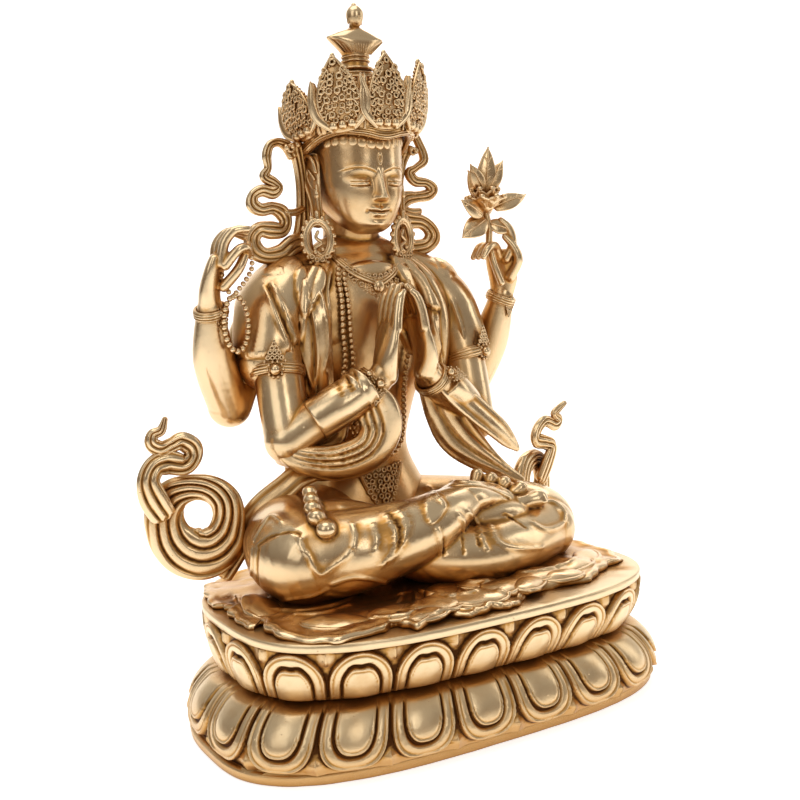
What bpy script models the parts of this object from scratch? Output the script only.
"""A seated four-armed figure of polished cast brass, two hands together, on a double lotus base.

Metres, +Z up, the figure faces -Y. The origin is on the underside, on the figure's own middle plane.
The base is one casting and the figure, with its seat cloth, scarf and crown, is another that sits on it.
"""

import math

import bmesh
import bpy
from mathutils import Matrix, Vector

# Lotus base: heights from the ground, half widths along X and half depths along Y
BASE_HEIGHT = 0.1765
WAIST_HEIGHT = 0.093
PLINTH_HEIGHT = 0.016
RIM_HEIGHT = 0.012
BASE_MIDDLE = (0.003, -0.028)
BACK_DEEPER = 0.045
FOOT_HALF = (0.343, 0.176)
LOWER_ROW_HALF = (0.338, 0.187)
WAIST_HALF = (0.290, 0.148)
UPPER_ROW_HALF = (0.308, 0.181)
PLATE_HALF = (0.3115, 0.190)
CORNER_POWER = 3.0
PETALS = 20
PETAL_PHASE = 0.78
PETAL_RELIEF = 0.008
LOBE_RELIEF = 0.004

# Figure: its forms are written in units of which FIGURE_UNITS make its whole height
FIGURE_HEIGHT = 0.8235
FIGURE_UNITS = 82.35
SEAT_GAP = 0.0003
CLAY_VOXEL = 0.0034
FIGURE_FACES = 5300

# Curls of the scarf beside the ears, as x and z from the crown down
EAR_SCROLL_RIGHT = ((-9.6, 61.2), (-10.5, 62.4), (-11.9, 62.9), (-13.3, 62.4), (-13.9, 61.0), (-13.7, 59.3),
                    (-14.2, 58.1), (-13.0, 57.3), (-12.3, 56.5), (-13.2, 55.8), (-14.8, 56.1), (-16.1, 55.4),
                    (-16.3, 54.1), (-15.2, 53.4), (-13.4, 53.6), (-11.8, 52.9), (-11.3, 51.6), (-12.1, 50.5),
                    (-13.9, 50.5), (-15.6, 50.6), (-16.6, 49.5), (-16.4, 47.9), (-14.9, 46.9), (-12.5, 47.1),
                    (-10.5, 48.3), (-9.0, 48.6))
EAR_SCROLL_LEFT = ((8.4, 61.8), (9.2, 64.0), (10.6, 64.8), (11.6, 63.2), (12.4, 60.8), (11.1, 59.6),
                   (10.0, 58.8), (10.8, 57.6), (12.6, 57.3), (13.7, 56.4), (13.1, 55.5), (11.1, 55.2),
                   (9.1, 54.9), (7.8, 53.7), (7.9, 52.3), (9.3, 51.7), (11.7, 51.4), (13.1, 50.3),
                   (13.4, 48.9), (12.2, 47.7), (10.0, 47.3), (8.2, 47.3))

# Edge of the seat cloth on the plate, as x and y
CLOTH_HEM = ((-28.5, 10.5), (-29.7, 4.9), (-28.4, 1.6), (-29.6, -1.3), (-29.3, -7.2), (-27.6, -7.0),
             (-28.1, -12.1), (-23.7, -18.3), (-17.0, -18.7), (-14.2, -17.5), (-12.4, -20.4), (-7.6, -17.9),
             (-4.8, -20.2), (-0.6, -19.8), (2.2, -20.3), (7.0, -16.9), (12.4, -16.7), (17.5, -17.0),
             (23.3, -13.5), (28.5, -11.3), (29.2, -5.6), (28.2, -0.4), (29.5, 4.2), (28.4, 9.6),
             (26.8, 14.2), (21.5, 16.4), (15.0, 18.4), (8.0, 17.8), (0.5, 18.9), (-7.5, 17.9),
             (-15.0, 18.6), (-22.0, 16.2), (-26.8, 14.4))
CLOTH_THICK = 0.75

UNIT = FIGURE_HEIGHT / FIGURE_UNITS
BRASS = (0.78, 0.60, 0.33, 1.0)


def clear_scene():
    for old in list(bpy.data.objects):
        bpy.data.objects.remove(old, do_unlink=True)


def brass(name, colour, roughness):
    material = bpy.data.materials.new(name)
    material.use_nodes = True
    shader = material.node_tree.nodes["Principled BSDF"]
    shader.inputs["Base Color"].default_value = colour
    shader.inputs["Metallic"].default_value = 1.0
    shader.inputs["Roughness"].default_value = roughness
    return material


def add_object(name, mesh, material):
    body = bpy.data.objects.new(name, mesh)
    body.data.materials.append(material)
    collection = bpy.data.collections.get("avalokiteshvara_statue")
    if collection is None:
        collection = bpy.data.collections.new("avalokiteshvara_statue")
        bpy.context.scene.collection.children.link(collection)
    collection.objects.link(body)
    return body


# Lotus base

def smooth_step(low, high, value):
    share = min(1.0, max(0.0, (value - low) / (high - low)))
    return share * share * (3 - 2 * share)


def footprint_point(half, angle):
    """Point of a rounded oblong, a superellipse, at this angle. It is deeper behind its middle."""
    cosine, sine = math.cos(angle), math.sin(angle)
    deep = half[1] + (BACK_DEEPER if sine > 0 else 0)
    x = math.copysign(half[0] * abs(cosine) ** (2 / CORNER_POWER), cosine)
    y = math.copysign(deep * abs(sine) ** (2 / CORNER_POWER), sine)
    return Vector((x + BASE_MIDDLE[0], y + BASE_MIDDLE[1]))


def even_angles(half, places):
    """Angles at which the footprint has gone these shares of its way round."""
    fine = 1440
    angles = [2 * math.pi * i / fine for i in range(fine + 1)]
    points = [footprint_point(half, angle) for angle in angles]
    run = [0.0]
    for one, two in zip(points, points[1:]):
        run.append(run[-1] + (two - one).length)
    found = []
    i = 0
    for place in places:
        while run[i + 1] < place * run[-1]:
            i += 1
        share = (place * run[-1] - run[i]) / (run[i + 1] - run[i])
        found.append(angles[i] + share * (angles[i + 1] - angles[i]))
    return found


def petal_relief(across, along):
    """Height of a petal's carving: a raised rim, a flat ring, a groove and a domed lobe.

    across runs from -1 to 1 over the petal, along from 0 at the waist to 1 at the petal's end.
    """
    past = max(0.0, (along - 0.42) / 0.54)
    edge = (abs(across / 0.95) ** 2.5 + past ** 2.5) ** 0.4
    past_lobe = max(0.0, (along - 0.30) / 0.42)
    lobe = (abs(across / 0.58) ** 2.5 + past_lobe ** 2.5) ** 0.4
    height = PETAL_RELIEF * (1 - smooth_step(0.90, 1.04, edge))
    height -= 0.5 * PETAL_RELIEF * (1 - smooth_step(0.98, 1.15, lobe))
    height += LOBE_RELIEF * (1 - smooth_step(0.80, 0.98, lobe)) * (1.6 - 0.6 * min(1.0, lobe) ** 2)
    return height * smooth_step(0.0, 0.22, along)


def base_levels():
    """(height, half widths, place along the petal or None) from the ground to the plate's edge."""
    levels = [(0.0, FOOT_HALF, None), (PLINTH_HEIGHT, FOOT_HALF, None)]
    lower_span = WAIST_HEIGHT - PLINTH_HEIGHT
    for along in (1.0, 0.93, 0.80, 0.68, 0.54, 0.36, 0.16):
        bulge = math.sin(min(1.0, (1 - along) * 1.25 + 0.25) * math.pi / 2)
        swell = math.cos(max(0.0, 0.86 - along) / 0.86 * math.pi / 2) ** 0.6
        half = [waist + (row - waist) * swell * max(bulge, swell)
                for waist, row in zip(WAIST_HALF, LOWER_ROW_HALF)]
        levels.append((WAIST_HEIGHT - along * lower_span, half, along))
    levels.append((WAIST_HEIGHT, WAIST_HALF, None))
    upper_span = BASE_HEIGHT - RIM_HEIGHT - WAIST_HEIGHT
    for along in (0.16, 0.36, 0.54, 0.68, 0.80, 0.93, 1.0):
        swell = math.sin(along * math.pi / 2) ** 0.75
        half = [waist + (row - waist) * swell for waist, row in zip(WAIST_HALF, UPPER_ROW_HALF)]
        levels.append((WAIST_HEIGHT + along * upper_span, half, along))
    levels.append((BASE_HEIGHT - RIM_HEIGHT, PLATE_HALF, None))
    levels.append((BASE_HEIGHT, PLATE_HALF, None))
    return levels


def lotus_base(material):
    columns = (-1.0, -0.80, -0.46, 0.0, 0.46, 0.80)
    places = []
    across = []
    for petal in range(PETALS):
        for column in columns:
            places.append(((petal + PETAL_PHASE + column / 2) / PETALS) % 1.0)
            across.append(column)
    order = sorted(range(len(places)), key=places.__getitem__)
    angles = even_angles(LOWER_ROW_HALF, [places[i] for i in order])
    sides = [across[i] if across[i] > -1.0 else -0.99 for i in order]
    mesh = bmesh.new()
    rings = []
    for height, half, along in base_levels():
        ring = []
        for angle, i in zip(angles, order):
            point = footprint_point(half, angle)
            centred = point - Vector(BASE_MIDDLE)
            outward = Vector((centred.x / half[0] ** 2, centred.y / half[1] ** 2)).normalized()
            if along is not None:
                point += outward * petal_relief(across[i], along)
            ring.append(mesh.verts.new((point.x, point.y, height)))
        rings.append(ring)
    for low, high in zip(rings, rings[1:]):
        for i, vert in enumerate(low):
            j = (i + 1) % len(low)
            if sides[i] < 0:
                mesh.faces.new((vert, low[j], high[j]))
                mesh.faces.new((vert, high[j], high[i]))
            else:
                mesh.faces.new((vert, low[j], high[i]))
                mesh.faces.new((low[j], high[j], high[i]))
    for ring, height in ((rings[0][::-1], 0.0), (rings[-1], BASE_HEIGHT)):
        middle = mesh.verts.new((*BASE_MIDDLE, height))
        for i, vert in enumerate(ring):
            mesh.faces.new((vert, ring[(i + 1) % len(ring)], middle))
    data = bpy.data.meshes.new("lotus_base")
    mesh.to_mesh(data)
    mesh.free()
    return add_object("lotus_base", data, material)


# Figure: closed forms that overlap, gathered in one mesh and then fused

def curve_rows(rows, rings, closed):
    """Rows of numbers read evenly along a smooth curve through the rows given."""
    count = len(rows)
    pieces = count if closed else count - 1
    found = []
    for i in range(rings):
        place = pieces * i / (rings if closed else rings - 1)
        k = min(int(place), pieces - 1)
        t = place - k
        picks = [k - 1, k, k + 1, k + 2]
        if closed:
            picks = [j % count for j in picks]
        else:
            picks = [min(max(j, 0), count - 1) for j in picks]
        row = []
        for a, b, c, d in zip(*(rows[j] for j in picks)):
            row.append(b + 0.5 * t * (c - a + t * (2 * a - 5 * b + 4 * c - d + t * (3 * (b - c) + d - a))))
        found.append(row)
    return found


def loft(clay, rows, facing=(0, 1, 0), rings=None, sides=8, closed=False, power=2.0):
    """A solid along a curve. A row is x, y, z, half width and half thickness, or these and the
    direction that the thickness goes in."""
    rings = rings or 3 * len(rows)
    found = curve_rows(rows, rings, closed)
    centres = [Vector(row[:3]) for row in found]
    last = len(found) - 1
    loops = []
    ends = []
    for i, row in enumerate(found):
        if closed:
            ahead = centres[(i + 1) % rings] - centres[i - 1]
        else:
            ahead = centres[min(i + 1, last)] - centres[max(i - 1, 0)]
        ahead.normalize()
        thick = Vector(row[5:8]) if len(row) > 5 else Vector(facing)
        thick = (thick - ahead * thick.dot(ahead)).normalized()
        wide = ahead.cross(thick)
        half_wide, half_thick = max(row[3], 0.02), max(row[4], 0.02)
        shifts = [(0.0, 1.0)]
        cap = min(half_wide, half_thick)
        if not closed and i == 0:
            shifts = [(-0.9 * cap, 0.42), (-0.55 * cap, 0.8), (0.0, 1.0)]
            ends.append(centres[i] - ahead * cap)
        if not closed and i == last:
            shifts = [(0.0, 1.0), (0.55 * cap, 0.8), (0.9 * cap, 0.42)]
            ends.append(centres[i] + ahead * cap)
        for shift, share in shifts:
            loop = []
            for k in range(sides):
                angle = 2 * math.pi * k / sides
                cosine, sine = math.cos(angle), math.sin(angle)
                u = math.copysign(abs(cosine) ** (2 / power), cosine) * half_wide * share
                v = math.copysign(abs(sine) ** (2 / power), sine) * half_thick * share
                place = centres[i] + ahead * shift + wide * u + thick * v
                loop.append(clay.verts.new(place * UNIT))
            loops.append(loop)
    pairs = list(zip(loops, loops[1:] + loops[:1])) if closed else list(zip(loops, loops[1:]))
    for low, high in pairs:
        for k in range(sides):
            n = (k + 1) % sides
            clay.faces.new((low[k], low[n], high[n], high[k]))
    if not closed:
        for end, loop in zip(ends, (loops[0][::-1], loops[-1])):
            tip = clay.verts.new(end * UNIT)
            for k in range(sides):
                clay.faces.new((loop[k], loop[(k + 1) % sides], tip))


def ball(clay, centre, radii, segments=12):
    size = Matrix.Diagonal((*[radius * UNIT for radius in radii], 1))
    matrix = Matrix.Translation(Vector(centre) * UNIT) @ size
    bmesh.ops.create_uvsphere(clay, u_segments=segments, v_segments=segments // 2 + 2, radius=1, matrix=matrix)


def tube(clay, points, radius, **options):
    loft(clay, [(*point, radius, radius) for point in points], **options)


def hoop(clay, centre, axis, radius, thickness, width):
    """A band round a limb."""
    axis = Vector(axis).normalized()
    side = axis.orthogonal().normalized()
    other = axis.cross(side)
    rows = []
    for i in range(8):
        angle = 2 * math.pi * i / 8
        out = side * math.cos(angle) + other * math.sin(angle)
        rows.append((*(Vector(centre) + out * radius), width, thickness, *out))
    loft(clay, rows, rings=16, sides=6, closed=True)


def torso(clay):
    loft(clay, [(0, 16, -1, 15, 8.5), (0, 15.8, 6, 13, 7.8), (0, 15.5, 12, 9.5, 6.4), (0, 15.5, 17.6, 7.4, 5.3),
                (0, 15.2, 24, 8.6, 5.8), (0, 14.6, 31, 11, 6.6), (0, 14.2, 38, 12.6, 6.5),
                (0, 14.6, 42.5, 12.4, 5.6), (0, 15.4, 45.6, 8.2, 4.6)], rings=26, sides=18)
    loft(clay, [(0, 16, 43, 5.4, 5.0), (0, 16.3, 47, 4.2, 4.1), (0, 15.6, 52, 4.3, 4.6)], sides=12)
    for side in (-1, 1):
        ball(clay, (side * 5.2, 10.6, 36.5), (4.8, 2.4, 4.2))


def head(clay):
    loft(clay, [(0, 10.6, 49.9, 2.5, 2.4), (0, 11.2, 51.2, 4.0, 4.2), (0, 12.4, 53.4, 5.3, 6.0),
                (0, 13.3, 56.5, 6.2, 7.2), (0, 13.8, 60, 6.5, 7.7), (0, 14, 63, 6.6, 7.8),
                (0, 14.2, 66, 5.9, 7.0), (0, 14.3, 69, 3.6, 4.6)], rings=22, sides=16)
    ball(clay, (0, 17.4, 57.5), (6.0, 5.6, 6.2))
    loft(clay, [(0, 6.9, 58.0, 0.7, 0.8), (0, 5.9, 56.0, 0.8, 0.9), (0, 5.3, 54.4, 1.15, 0.9)])
    for x, width in ((-0.6, 0.5), (0.6, 0.5)):
        ball(clay, (2 * x, 6.6, 54.2), (width, 0.7, 0.55))
    ball(clay, (0, 7.0, 52.6), (1.7, 0.9, 0.45))
    ball(clay, (0, 7.2, 51.8), (1.4, 0.9, 0.45))
    ball(clay, (0, 8.1, 50.4), (1.5, 1.2, 1.0))
    for side in (-1, 1):
        ball(clay, (side * 2.9, 7.2, 57.0), (1.7, 0.9, 0.75))
        loft(clay, [(side * 0.9, 6.5, 58.6, 0.45, 0.4), (side * 3.0, 6.7, 59.3, 0.5, 0.5),
                    (side * 5.0, 8.4, 58.6, 0.35, 0.4)])
        ball(clay, (side * 3.3, 8.6, 54.0), (2.2, 1.9, 2.4))
        loft(clay, [(side * 6.9, 14.0, 61.6, 0.7, 0.8), (side * 7.3, 13.8, 60, 1.7, 0.8),
                    (side * 7.3, 13.3, 56.8, 1.7, 0.8), (side * 7.1, 12.9, 53.6, 1.1, 0.7),
                    (side * 7.0, 13.0, 51.3, 1.0, 0.7)], facing=(1, 0, 0))


def leaf(clay, foot, tip, width, thick, facing, bow=0.0):
    """A pointed oval leaf from foot to tip, bowed out by bow."""
    foot, tip, out = Vector(foot), Vector(tip), Vector(facing).normalized()
    rows = []
    for place, share in ((0, 0.62), (0.25, 0.95), (0.5, 1.0), (0.75, 0.74), (0.92, 0.32), (1, 0.08)):
        centre = foot.lerp(tip, place) + out * bow * math.sin(math.pi * place)
        rows.append((*centre, width * share, thick * (0.5 + 0.5 * share)))
    loft(clay, rows, facing=out, rings=12, sides=8)


def crown(clay):
    band = []
    for i in range(12):
        angle = 2 * math.pi * i / 12
        out = Vector((math.cos(angle), math.sin(angle), 0))
        band.append((8.0 * out.x, 13.4 + 9.0 * out.y, 63.4 + 0.7 * out.y + 0.7 * abs(out.x), 1.3, 0.7, *out))
    loft(clay, band, rings=28, sides=6, closed=True)
    leaf(clay, (0, 4.6, 64.0), (0, 4.1, 73.6), 3.5, 0.9, (0, -1, 0), 0.5)
    for side in (-1, 1):
        leaf(clay, (side * 5.2, 6.6, 63.8), (side * 6.7, 6.3, 73.2), 3.6, 0.9, (side * 0.62, -0.78, 0), 0.6)
        leaf(clay, (side * 8.0, 12.6, 63.6), (side * 9.4, 13.4, 70.8), 3.4, 0.9, (side * 1.0, -0.12, 0), 0.6)
        ball(clay, (side * 3.3, 5.0, 67.0), (0.9, 0.8, 2.2))
        ball(clay, (side * 7.4, 9.6, 66.2), (0.8, 0.9, 2.0))


def topknot_and_bust(clay):
    loft(clay, [(0, 13.6, 66, 5.2, 5.2), (0, 13.0, 69.0, 4.2, 4.2), (0, 12.5, 71.2, 3.0, 3.0),
                (0, 12.4, 72.4, 3.3, 3.1), (0, 12.2, 73.6, 2.6, 2.5), (0, 12.0, 75.2, 2.0, 1.8),
                (0, 12.0, 76.6, 3.4, 2.2), (0, 12.0, 77.2, 4.5, 2.4), (0, 12.0, 77.9, 2.8, 1.9),
                (0, 12.0, 78.9, 0.9, 0.9), (0, 11.9, 79.4, 0.8, 0.8)], rings=30, sides=12)
    ball(clay, (0, 11.7, 80.7), (1.15, 1.25, 1.45))
    ball(clay, (0, 11.8, 81.85), (0.5, 0.5, 0.5))


def ear_scroll(clay, points):
    rows = []
    for i, (x, z) in enumerate(points):
        share = i / (len(points) - 1)
        rows.append((x, 14.4, z, 0.70 + 0.75 * share, 0.5 + 0.2 * share))
    loft(clay, rows, rings=3 * len(rows), sides=6)


def earrings_and_scrolls(clay):
    for side in (-1, 1):
        rows = []
        for i in range(10):
            angle = 2 * math.pi * i / 10
            x = side * 7.0 + 2.0 * math.cos(angle)
            rows.append((x, 13.4 - 0.35 * side * 2.0 * math.cos(angle), 48.6 + 3.0 * math.sin(angle), 0.75, 0.6))
        loft(clay, rows, facing=(side * 0.35, -1, 0), rings=22, sides=6, closed=True)
        ball(clay, (side * 7.0, 13.4, 48.4), (1.0, 0.6, 2.2))
        ball(clay, (side * 7.0, 13.4, 44.9), (0.7, 0.6, 0.8))
        tube(clay, [(side * 8.4, 14.4, 61.6), (side * 8.5, 14.6, 57), (side * 8.6, 14.6, 52), (side * 9.0, 14.5, 48)], 0.7)
    ear_scroll(clay, EAR_SCROLL_RIGHT)
    ear_scroll(clay, EAR_SCROLL_LEFT)


def finger(clay, points, radius):
    rows = [(*point, radius * share, radius * share) for point, share in zip(points, (1.0, 0.95, 0.88, 0.72))]
    loft(clay, rows, rings=8, sides=6)


def praying_hands(clay):
    for side in (-1, 1):
        lean = 0.0 if side < 0 else 0.5
        loft(clay, [(side * 3.2, 1.6, 30.0, 2.0, 1.7), (side * 3.2, 1.6, 32.4, 2.6, 1.3),
                    (side * 2.7, 1.9, 35.2, 2.7, 1.0), (side * 2.2, 2.0, 36.8, 2.5, 0.9)], facing=(1, 0, 0.2))
        for k in range(4):
            y = 0.0 + 1.35 * k
            top = 41.6 - 0.5 * abs(k - 1.4)
            finger(clay, [(side * 2.3, y, 36.2), (side * (1.9 + 0.2 * lean), y + 0.1, 38.3),
                          (side * 1.2, y + 0.3, 40.2), (side * 0.65, y + 0.5, top)], 0.78)
        finger(clay, [(side * 2.8, 3.8, 32.8), (side * 2.2, 4.6, 35.0), (side * 1.6, 4.6, 37.0),
                      (side * 1.1, 4.3, 38.6)], 0.8)


def front_arms(clay):
    for side, elbow in ((-1, (-16.4, 6.4, 21.2)), (1, (14.6, 6.4, 21.0))):
        shoulder = (side * 13.0, 14.0, 41.8)
        middle = (side * 15.4, 11.0, 32.5)
        loft(clay, [(*shoulder, 4.3, 4.3), (*middle, 3.7, 3.7), (*elbow, 3.4, 3.3)], rings=10, sides=12)
        halfway = [(a + b) / 2 for a, b in zip(elbow, (side * 3.3, 1.6, 30.0))]
        loft(clay, [(*elbow, 3.4, 3.3), (*halfway, 3.0, 2.8), (side * 3.8, 1.6, 29.6, 2.1, 1.9)],
             facing=(0, 0, 1), rings=10, sides=12)
        ball(clay, elbow, (3.4, 3.4, 3.4))
        ball(clay, (side * 13.2, 14.2, 42.0), (4.4, 4.6, 4.2))
        hoop(clay, (side * 4.4, 1.8, 28.9), (side * -0.72, -0.2, 0.66), 2.3, 0.55, 1.0)
        hoop(clay, (side * 15.9, 10.4, 30.0), (side * 0.15, -0.25, -1), 3.9, 0.6, 1.1)
        ball(clay, (side * 16.8, 7.6, 31.6), (1.5, 1.2, 2.2))


def raised_arms(clay):
    for side, elbow, wrist in ((-1, (-21.2, 15.6, 25.8), (-24.9, 11.2, 40.0)), (1, (20.2, 15.6, 25.2), (24.1, 11.0, 39.6))):
        shoulder = (side * 13.4, 17.0, 40.0)
        loft(clay, [(*shoulder, 4.0, 4.0), (side * 17.8, 17.2, 32.0, 3.5, 3.5), (*elbow, 3.3, 3.3)], rings=10, sides=12)
        middle = [(a + b) / 2 for a, b in zip(elbow, wrist)]
        middle[0] += side * 0.8
        loft(clay, [(*elbow, 3.2, 3.2), (*middle, 2.9, 2.9), (*wrist, 1.8, 1.9)], rings=10, sides=12)
        ball(clay, elbow, (3.3, 3.3, 3.2))
        along = Vector(wrist) - Vector(elbow)
        hoop(clay, Vector(wrist) - 0.5 * along.normalized(), along, 2.1, 0.5, 0.9)
        hoop(clay, (side * 18.9, 16.6, 28.4), (side * 0.3, -0.05, -1), 3.7, 0.5, 1.0)


def right_hand(clay):
    """The raised hand at -X: open, its thumb and first finger holding the bead loop."""
    loft(clay, [(-24.9, 11.2, 40.0, 1.8, 1.5), (-24.9, 10.8, 42.6, 2.4, 1.3), (-24.2, 10.3, 45.2, 2.6, 1.2),
                (-23.7, 10.0, 46.6, 2.4, 1.0)], facing=(0.75, -0.6, 0.2))
    for k in range(3):
        y = 8.2 + 1.5 * k
        finger(clay, [(-24.0 + 0.2 * k, y, 46.0), (-23.6, y - 0.3, 48.4), (-22.4 + 0.3 * k, y - 0.8, 50.0),
                      (-20.8 + 0.4 * k, y - 1.2, 50.4 - 0.6 * k)], 0.78)
    finger(clay, [(-23.6, 8.0, 45.8), (-22.2, 7.4, 48.0), (-20.8, 7.6, 48.4), (-19.8, 8.2, 47.6)], 0.75)
    finger(clay, [(-23.6, 9.2, 43.2), (-21.9, 8.2, 45.2), (-20.8, 8.2, 46.4), (-19.9, 8.5, 47.2)], 0.8)


def left_hand(clay):
    """The raised hand at +X: its fingers hold the lotus stem."""
    loft(clay, [(24.1, 11.0, 39.6, 1.8, 1.5), (24.2, 10.7, 42.2, 2.4, 1.3), (23.6, 10.3, 44.8, 2.5, 1.2),
                (23.2, 10.0, 46.0, 2.3, 1.0)], facing=(0.75, 0.6, -0.2))
    for k in range(3):
        y = 9.6 + 1.4 * k
        finger(clay, [(23.0, y, 45.6), (21.2, y - 1.2, 47.4), (19.4, y - 2.0, 47.0), (18.4, y - 2.2, 45.4)], 0.76)
    finger(clay, [(23.6, 8.6, 45.4), (24.3, 8.2, 47.6), (23.8, 8.2, 49.6), (22.6, 8.6, 50.8)], 0.76)
    finger(clay, [(24.4, 8.8, 42.6), (25.0, 7.6, 45.0), (24.4, 7.8, 47.0), (23.2, 8.4, 48.8)], 0.8)


def lotus_flower(clay):
    tube(clay, [(20.4, 8.4, 44.6), (20.4, 8.8, 47.5), (20.6, 9.2, 50.0), (20.3, 9.5, 52.6)], 0.62, sides=6)
    ball(clay, (20.3, 9.5, 53.6), (1.6, 1.5, 1.5))
    for i in range(8):
        angle = 2 * math.pi * i / 8
        out = Vector((math.cos(angle), math.sin(angle), 0))
        centre = Vector((20.3, 9.5, 53.0))
        leaf(clay, centre + out * 0.8, centre + out * 2.9 + Vector((0, 0, 2.2)), 0.95, 0.5, (out.x, out.y, -0.8))
    leaf(clay, (20.4, 9.4, 54.0), (20.9, 9.4, 62.0), 1.1, 0.6, (-0.3, -1, 0))
    leaf(clay, (20.2, 9.4, 54.6), (17.6, 9.2, 59.0), 0.9, 0.5, (-0.3, -1, 0))
    leaf(clay, (20.6, 9.4, 54.6), (23.2, 9.2, 59.4), 0.9, 0.5, (-0.3, -1, 0))
    leaf(clay, (21.6, 9.2, 52.2), (27.0, 8.8, 54.6), 1.4, 0.5, (-0.3, -1, 0.2))
    leaf(clay, (19.4, 9.2, 52.2), (15.8, 8.8, 50.6), 1.3, 0.5, (-0.3, -1, 0.2))


def bead_loop(clay):
    tube(clay, [(-19.8, 8.6, 47.6), (-19.5, 8.6, 45.6), (-20.4, 8.6, 44.0), (-22.3, 8.8, 41.4)], 0.42, sides=6)
    rows = []
    for i in range(12):
        angle = 2 * math.pi * i / 12
        rows.append((-22.3 + 1.75 * math.sin(angle), 8.8, 37.7 + 3.7 * math.cos(angle), 0.46, 0.46))
    loft(clay, rows, rings=28, sides=6, closed=True)
    tube(clay, [(-22.3, 8.8, 41.4), (-23.5, 9.0, 43.2), (-22.6, 9.0, 46.4)], 0.42, sides=6)


def chest_ornaments(clay):
    loft(clay, [(-6.4, 12.4, 45.6, 0.9, 0.5), (-4.2, 9.4, 43.6, 1.0, 0.5), (0, 8.0, 42.0, 1.1, 0.6),
                (4.2, 9.4, 43.6, 1.0, 0.5), (6.4, 12.4, 45.6, 0.9, 0.5)], facing=(0, -1, 0.3), rings=16)
    loft(clay, [(0, 7.6, 42.8, 3.0, 0.6), (0, 7.5, 40.6, 2.0, 0.6), (0, 7.6, 38.2, 0.9, 0.5), (0, 7.7, 36.8, 0.2, 0.4)],
         facing=(0, -1, 0))
    tube(clay, [(-5.0, 11.0, 45.4), (-6.6, 9.4, 42.6), (-6.8, 7.8, 38.0), (-6.6, 7.6, 33.0), (-5.4, 8.4, 28.0),
                (-3.0, 9.2, 22.0), (0, 9.4, 19.4), (2.6, 9.2, 21.6), (2.9, 9.0, 26.0), (4.6, 8.4, 31.0),
                (6.0, 7.8, 37.0), (6.0, 9.2, 42.6), (4.8, 11.0, 45.4)], 0.5, rings=44, sides=6)
    loft(clay, [(0, 9.8, 15.4, 1.8, 0.8), (0, 9.4, 13.0, 1.6, 0.8), (0, 8.8, 9.6, 0.5, 0.5)], facing=(0, -1, 0))
    hoop_rows = []
    for i in range(10):
        angle = 2 * math.pi * i / 10
        out = Vector((math.cos(angle), math.sin(angle), 0))
        hoop_rows.append((10.0 * out.x, 15.6 + 6.7 * out.y, 12.2, 1.2, 0.7, *out))
    loft(clay, hoop_rows, rings=24, sides=6, closed=True)


def legs(clay):
    loft(clay, [(-8.5, 14, 6.2, 7.4, 6.6), (-16, 7.0, 7.2, 7.2, 6.6), (-20.6, 0.5, 7.0, 6.6, 6.4),
                (-20.0, -3.4, 6.4, 5.8, 5.8)], facing=(0, 0, 1), sides=14)
    loft(clay, [(-20.2, -2.6, 6.6, 6.0, 6.0), (-14.0, -6.6, 7.4, 5.6, 5.4), (-6.0, -8.4, 9.0, 4.8, 4.6),
                (-0.5, -8.2, 10.8, 3.8, 3.4), (3.6, -7.0, 12.0, 2.9, 2.2)], facing=(0, 0, 1), sides=14)
    loft(clay, [(8.5, 14, 5.6, 7.4, 6.4), (15.4, 6.6, 5.8, 7.0, 6.0), (20.2, 0.0, 5.6, 6.0, 5.6),
                (19.6, -3.4, 5.0, 5.2, 5.0)], facing=(0, 0, 1), sides=14)
    loft(clay, [(19.4, -3.0, 5.0, 5.2, 5.0), (12.0, -6.8, 4.6, 5.0, 4.6), (4.0, -8.6, 4.6, 4.8, 4.2),
                (-4.0, -7.4, 6.0, 4.4, 4.0), (-10.4, -4.0, 9.4, 3.4, 3.0), (-13.4, -2.2, 11.4, 2.8, 2.2)],
         facing=(0, 0, 1), sides=14)
    ball(clay, (0, 6, 3.0), (15, 10, 6.0))


def foot(clay, rows, toes, radius):
    loft(clay, rows, facing=(0, 0, 1), rings=12, sides=10)
    for i, toe in enumerate(toes):
        size = radius * (1.25 if i == len(toes) - 1 else 1.0)
        ball(clay, toe, (size, size, 0.85 * size), 8)


def feet(clay):
    foot(clay, [(2.0, -7.2, 12.4, 2.9, 2.0), (6.4, -5.4, 12.2, 3.0, 1.8), (10.8, -3.8, 11.2, 3.1, 1.5),
                (13.2, -3.0, 10.4, 2.8, 1.2)], [(10.6, -0.2, 12.4), (12.4, -0.8, 11.8), (13.8, -1.6, 11.2),
                                                (15.0, -2.8, 10.6), (16.2, -4.4, 9.6)], 1.1)
    foot(clay, [(-10.6, -3.6, 10.8, 2.8, 2.0), (-13.4, -1.8, 11.8, 3.0, 1.7), (-16.0, -1.4, 12.0, 2.8, 1.5)],
         [(-16.6, 1.0, 13.6), (-17.2, -0.2, 13.2), (-17.6, -1.4, 12.5), (-17.8, -2.7, 11.7), (-17.4, -4.3, 10.7)], 1.1)


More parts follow.
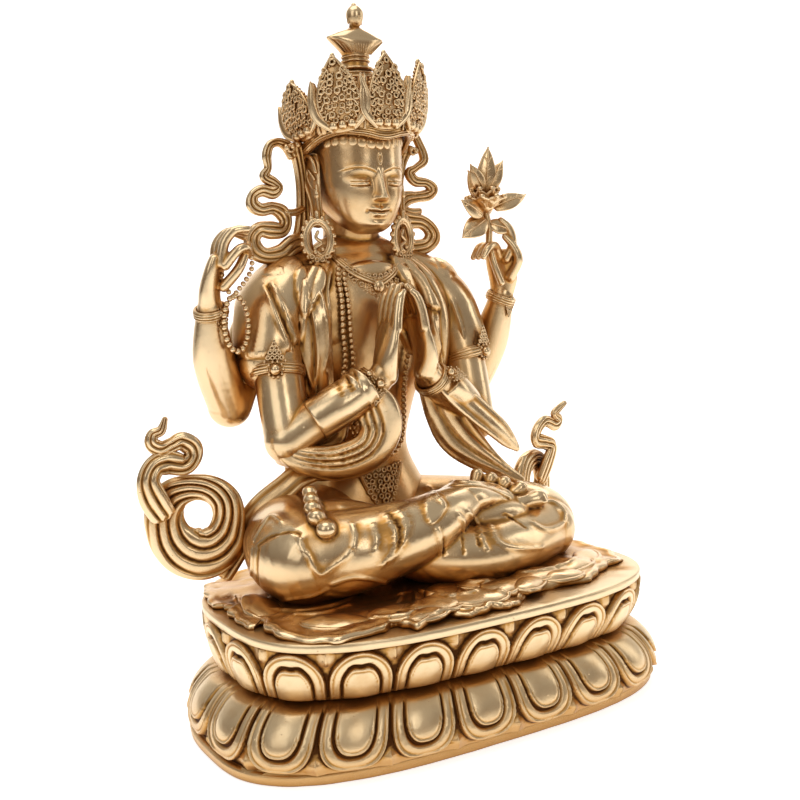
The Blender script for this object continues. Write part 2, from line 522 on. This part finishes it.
def seat_cloth(clay):
    """The flat cloth under the legs, with a lobed and folded edge."""
    turns = 96
    outline = curve_rows(CLOTH_HEM, turns, True)
    rings = []
    for share in (0.0, 0.55, 0.86, 1.0):
        ring = []
        for i, (x, y) in enumerate(outline):
            wave = 0.22 * share * math.sin(13 * 2 * math.pi * i / turns + 1.0)
            ring.append((x * share, y * share, wave))
        rings.append(ring)
    top = [[clay.verts.new(Vector((x, y, CLOTH_THICK + w)) * UNIT) for x, y, w in ring] for ring in rings]
    low = [[clay.verts.new(Vector((x, y, -0.5)) * UNIT) for x, y, w in ring] for ring in rings]
    for layer, flip in ((top, False), (low, True)):
        for inner, outer in zip(layer, layer[1:]):
            for i in range(turns):
                n = (i + 1) % turns
                if inner is layer[0]:
                    corners = [inner[0], outer[i], outer[n]]
                else:
                    corners = [inner[i], outer[i], outer[n], inner[n]]
                clay.faces.new(corners[::-1] if flip else corners)
        for spare in layer[0][1:]:
            clay.verts.remove(spare)
    for i in range(turns):
        n = (i + 1) % turns
        clay.faces.new((top[-1][i], low[-1][i], low[-1][n], top[-1][n]))
    for x, y, reach, turn in ((-7, -15.4, 3.2, 0.2), (-1, -16.2, 3.4, -0.3), (5, -14.6, 3.0, 0.4), (-12, -14, 3.0, 0.9)):
        loft(clay, [(x - reach, y + turn, 0.9, 0.9, 0.4), (x, y - 1.2, 1.5, 1.4, 0.6), (x + reach, y - turn, 0.9, 0.9, 0.4)],
             facing=(0, 0, 1))


def side_scroll(clay, centre, size, facing, tail):
    """A rolled end of the scarf beside the hip: a ring, and a wavy tail above it."""
    out = Vector(facing).normalized()
    across = Vector((0, 0, 1)).cross(out).normalized()
    rows = []
    for i in range(10):
        angle = 2 * math.pi * i / 10
        spoke = across * math.cos(angle) + Vector((0, 0, 1)) * math.sin(angle)
        rows.append((*(Vector(centre) + spoke * size * 0.66), size * 0.36, 1.1, *out))
    loft(clay, rows, rings=26, sides=8, closed=True)
    tail_rows = []
    for i, (x, y, z) in enumerate(tail):
        share = 1 - i / (len(tail) - 1)
        tail_rows.append((x, y, z, 0.35 + 1.25 * share, 0.45 + 0.5 * share))
    loft(clay, tail_rows, facing=out, rings=4 * len(tail), sides=6)


def side_scrolls(clay):
    right_tail = [(-34.4, 9, 15.6), (-35.6, 9, 18.4), (-33.6, 9, 20.0), (-30.6, 9, 19.4), (-29.4, 9, 21.2),
                  (-31.8, 9, 22.5), (-34.8, 9, 22.4), (-34.6, 9, 24.4), (-33.2, 9, 26.4)]
    side_scroll(clay, (-29.4, 9.0, 11.2), 7.0, (-0.45, -0.9, 0), right_tail)
    left_tail = [(30.6, 8, 13.4), (31.8, 8, 15.6), (30.0, 8.4, 17.0), (28.6, 8.8, 18.4), (30.4, 8.8, 20.0),
                 (33.0, 8.4, 20.0), (33.6, 8.2, 21.4), (35.0, 8, 23.4)]
    side_scroll(clay, (28.0, 9.6, 9.6), 6.4, (0.45, -0.9, 0), left_tail)
    loft(clay, [(-9.0, 8.0, 17.0, 2.4, 0.8), (-14.0, 6.8, 15.2, 2.6, 0.9), (-19.4, 7.0, 12.2, 2.6, 0.9),
                (-23.0, 7.8, 8.0, 2.4, 0.9), (-26.0, 9.0, 4.0, 2.2, 0.9), (-28.6, 9.4, 4.6, 1.6, 0.9)], facing=(-0.4, -0.6, 0.6))
    loft(clay, [(9.0, 8.0, 16.0, 2.4, 0.8), (15.0, 8.6, 13.0, 2.4, 0.9), (21.0, 10.0, 9.0, 2.4, 0.9),
                (25.4, 10.0, 4.6, 2.2, 0.9), (28.6, 9.8, 4.4, 1.6, 0.9)], facing=(0.4, -0.6, 0.6))


def shawl(clay):
    for side in (-1, 1):
        loft(clay, [(side * 6.5, 15.4, 46.4, 2.6, 3.4), (side * 11.5, 15.4, 44.6, 4.6, 5.4),
                    (side * 14.8, 14.6, 40.0, 5.4, 6.4), (side * 16.0, 13.2, 35.0, 5.2, 5.8),
                    (side * 16.6, 12.4, 32.2, 5.0, 5.4)], facing=(0, 1, 0), sides=14)
        loft(clay, [(side * 4.8, 15.0, 47.4, 1.2, 0.8), (side * 8.0, 9.6, 44.0, 2.0, 0.8),
                    (side * 9.4, 7.8, 38.0, 2.4, 0.9), (side * 9.2, 8.2, 31.0, 2.2, 0.9),
                    (side * 8.4, 9.4, 24.0, 1.8, 0.9), (side * 9.0, 9.6, 17.0, 1.8, 0.9)], facing=(side * 0.2, -1, 0))
        ball(clay, (side * 9.8, 8.0, 40.0), (3.0, 1.3, 2.4))
    loft(clay, [(0, 21.0, 45.0, 9.0, 1.2), (0, 21.4, 38.0, 13.4, 1.4), (0, 21.4, 30.0, 12.4, 1.4), (0, 21.2, 22.0, 9.6, 1.4),
                (0, 21.6, 14.0, 9.8, 1.2)], facing=(0, 1, 0), sides=12)


def sleeve_cloths(clay):
    """The scarf's loops: a bowl of folds under the right forearm, and tails from the left one."""
    for k, (drop, out) in enumerate(((0.0, 0.0), (1.5, 1.0), (3.0, 1.6))):
        loft(clay, [(-17.6, 5.6, 20.4 - 0.5 * drop, 0.8, 0.9), (-14.8, 3.8 - out, 19.2 - drop, 1.2, 1.0),
                    (-9.4, 2.6 - out, 19.0 - drop, 1.3, 1.0), (-5.0, 2.0 - out, 20.8 - 0.8 * drop, 1.2, 0.9),
                    (-3.2, 1.6 - 0.5 * out, 24.0 - 0.4 * drop, 1.0, 0.8), (-5.0, 1.0, 27.4, 0.9, 0.7)],
             facing=(0, -1, 0.5))
    loft(clay, [(-16.6, 8.0, 19.0, 2.6, 1.2), (-11.0, 6.4, 18.0, 3.4, 1.4), (-6.0, 5.0, 20.4, 3.0, 1.2), (-4.6, 3.4, 25.0, 1.8, 1.0)],
         facing=(0, 0.3, 1))
    loft(clay, [(4.8, 2.8, 28.2, 2.2, 0.9), (9.0, 2.2, 25.2, 3.2, 0.8), (13.6, 1.8, 21.2, 2.4, 0.7), (18.2, 1.6, 17.0, 0.5, 0.5)],
         facing=(-0.4, -0.6, 0.7))
    loft(clay, [(4.2, 3.2, 27.6, 1.2, 0.8), (7.0, 3.2, 22.4, 1.7, 0.8), (9.4, 2.8, 17.8, 1.8, 0.8),
                (13.4, 2.2, 14.4, 1.6, 0.8), (18.6, 1.0, 11.4, 1.2, 0.7)], facing=(-0.5, -0.6, 0.6))
    loft(clay, [(15.6, 7.4, 21.0, 3.0, 1.2), (11.0, 6.4, 23.0, 3.2, 1.2), (6.6, 4.6, 26.2, 2.4, 1.0)], facing=(0, 0, 1))


def keep_largest(mesh):
    """Removes any loose island, so that one closed body is left."""
    body = bmesh.new()
    body.from_mesh(mesh)
    left = set(body.verts)
    islands = []
    while left:
        seed = left.pop()
        island = {seed}
        front = [seed]
        while front:
            near = [edge.other_vert(vert) for vert in front for edge in vert.link_edges]
            front = [vert for vert in set(near) if vert not in island]
            island.update(front)
        left -= island
        islands.append(island)
    largest = max(islands, key=len)
    loose = [vert for island in islands if island is not largest for vert in island]
    bmesh.ops.delete(body, geom=loose, context="VERTS")
    body.to_mesh(mesh)
    body.free()
    return len(mesh.polygons)


def evaluated_mesh(body):
    graph = bpy.context.evaluated_depsgraph_get()
    return bpy.data.meshes.new_from_object(body.evaluated_get(graph), depsgraph=graph)


def figure(material):
    clay = bmesh.new()
    for form in (torso, head, crown, topknot_and_bust, earrings_and_scrolls, front_arms, praying_hands,
                 raised_arms, right_hand, left_hand, lotus_flower, bead_loop, chest_ornaments, legs, feet,
                 seat_cloth, side_scrolls, shawl, sleeve_cloths):
        form(clay)
    rough = bpy.data.meshes.new("figure_clay")
    clay.to_mesh(rough)
    clay.free()
    body = add_object("figure", rough, material)
    fuse = body.modifiers.new("fuse", "REMESH")
    fuse.mode = "VOXEL"
    fuse.voxel_size = CLAY_VOXEL
    fused = evaluated_mesh(body)
    body.modifiers.clear()
    faces = 2 * keep_largest(fused)
    body.data = fused
    bpy.data.meshes.remove(rough)
    coarse = body.modifiers.new("coarse", "DECIMATE")
    coarse.ratio = FIGURE_FACES / faces
    body.location = (0, 0, BASE_HEIGHT)
    bpy.ops.mesh.primitive_cube_add(size=1)
    cutter = bpy.context.object
    cutter.name = "seat_plane"
    cutter.scale = (2, 2, 0.2)
    cutter.location = (0, 0, BASE_HEIGHT + SEAT_GAP - 0.1)
    cutter.hide_render = True
    cutter.display_type = "WIRE"
    cut = body.modifiers.new("flat seat", "BOOLEAN")
    cut.operation = "DIFFERENCE"
    cut.object = cutter
    return body


def main():
    clear_scene()
    lotus_base(brass("brass_base", BRASS, 0.28))
    figure(brass("brass_figure", BRASS, 0.2))


main()
